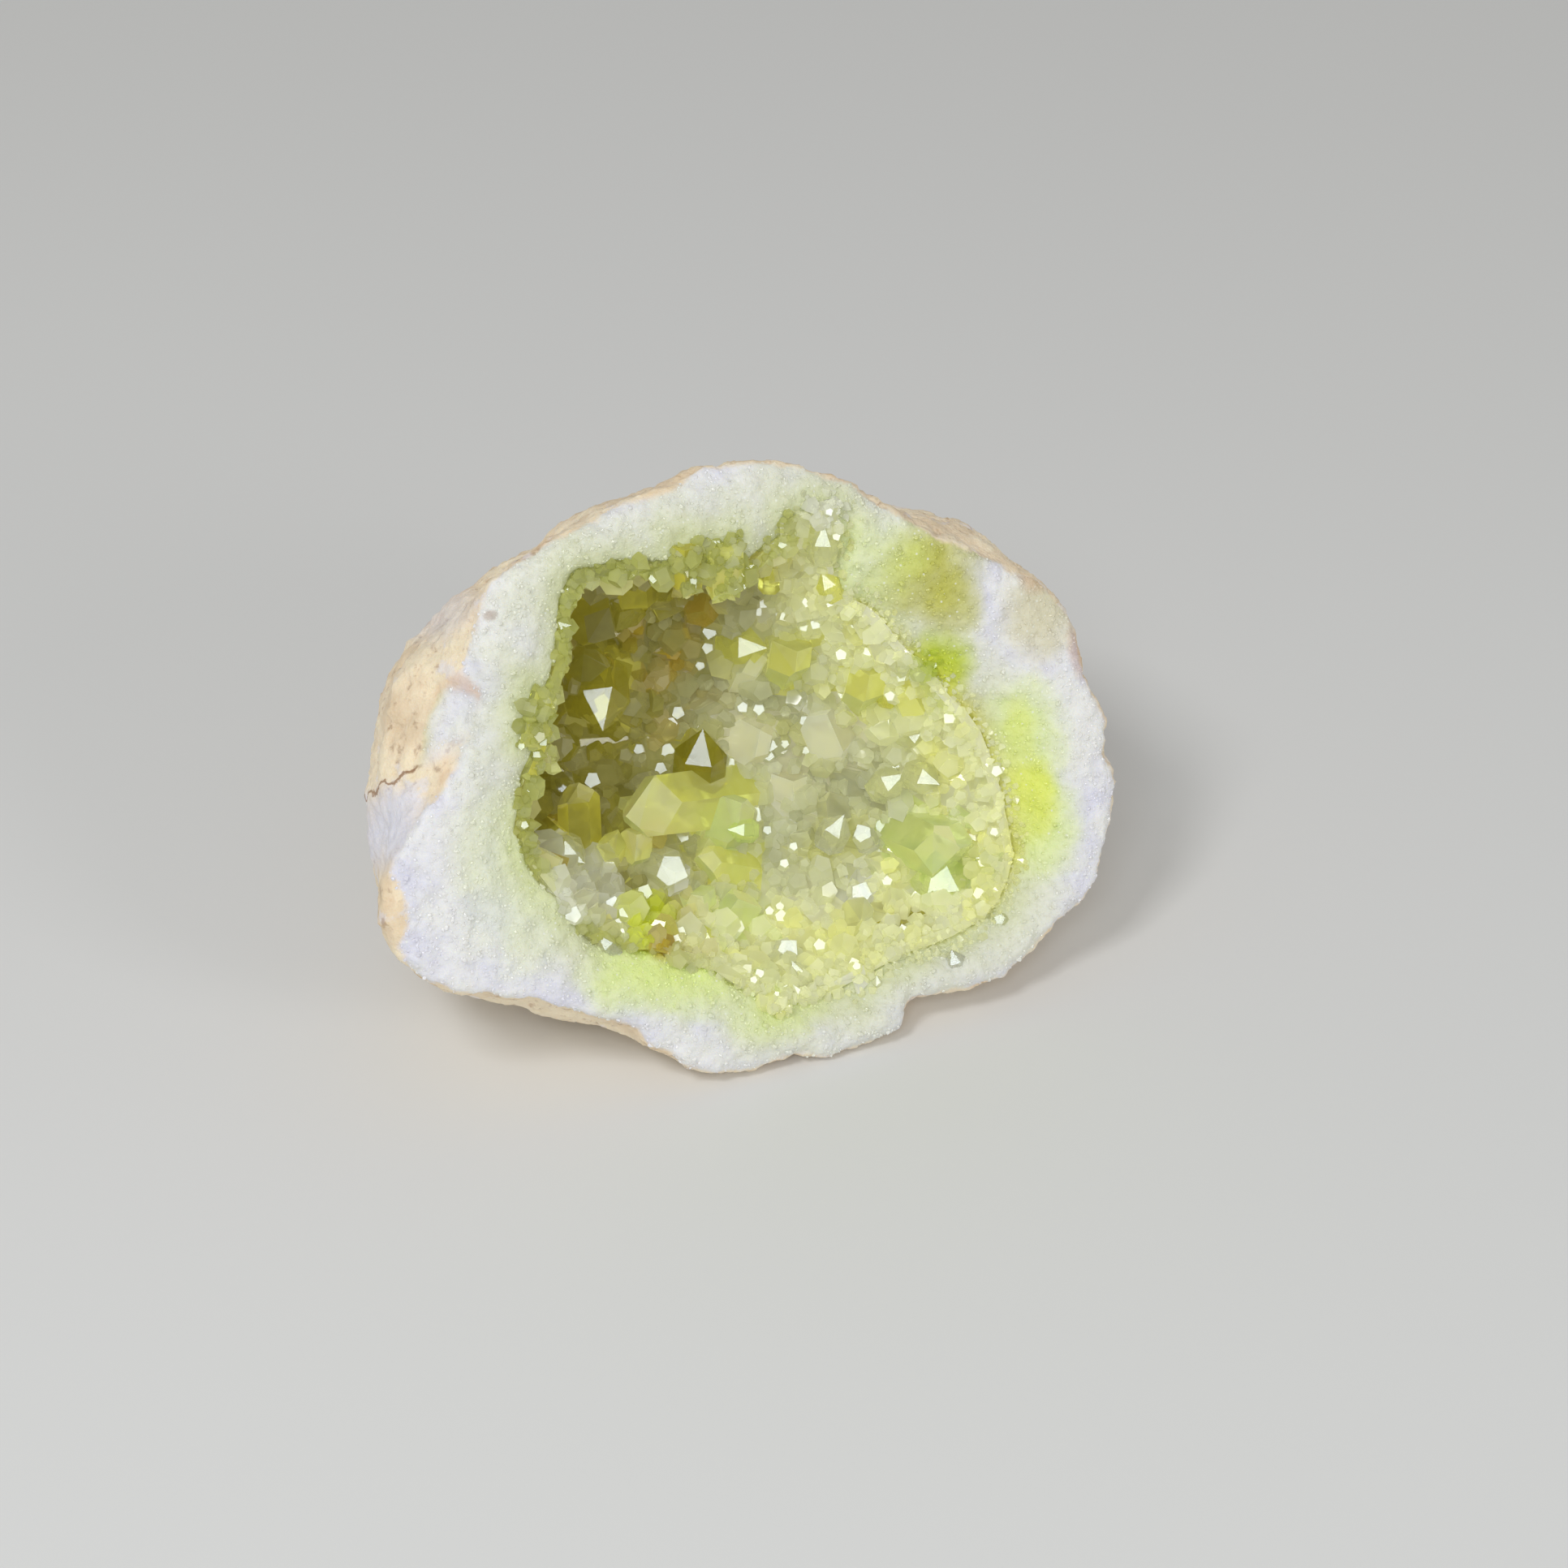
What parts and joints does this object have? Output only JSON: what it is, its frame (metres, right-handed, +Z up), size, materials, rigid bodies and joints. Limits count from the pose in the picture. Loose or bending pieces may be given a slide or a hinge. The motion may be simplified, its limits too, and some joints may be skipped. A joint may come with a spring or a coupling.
{
  "type": "citrine druzy geode half",
  "caption": "Broken-open quartz geode half with a sugary white rim, a weathered tan rind and a hollow lined with lemon-yellow and green citrine crystals.",
  "frame": {"origin": "middle of the bounding box, on the flat that the geode rests on", "axes": "+X to the right across the broken face as it is looked at from the front, +Y to the back, +Z up from the surface that it rests on"},
  "size_m": [0.1031, 0.0765, 0.0758],
  "materials": {
    "white_quartz": "sugary white quartz on the break, weathered tan rind on the outside",
    "citrine": "clear glossy crystal, lemon yellow to green"
  },
  "bodies": {
    "root": {"geode_shell": "white_quartz", "crystal_crust": "citrine"}
  },
  "joints": []
}
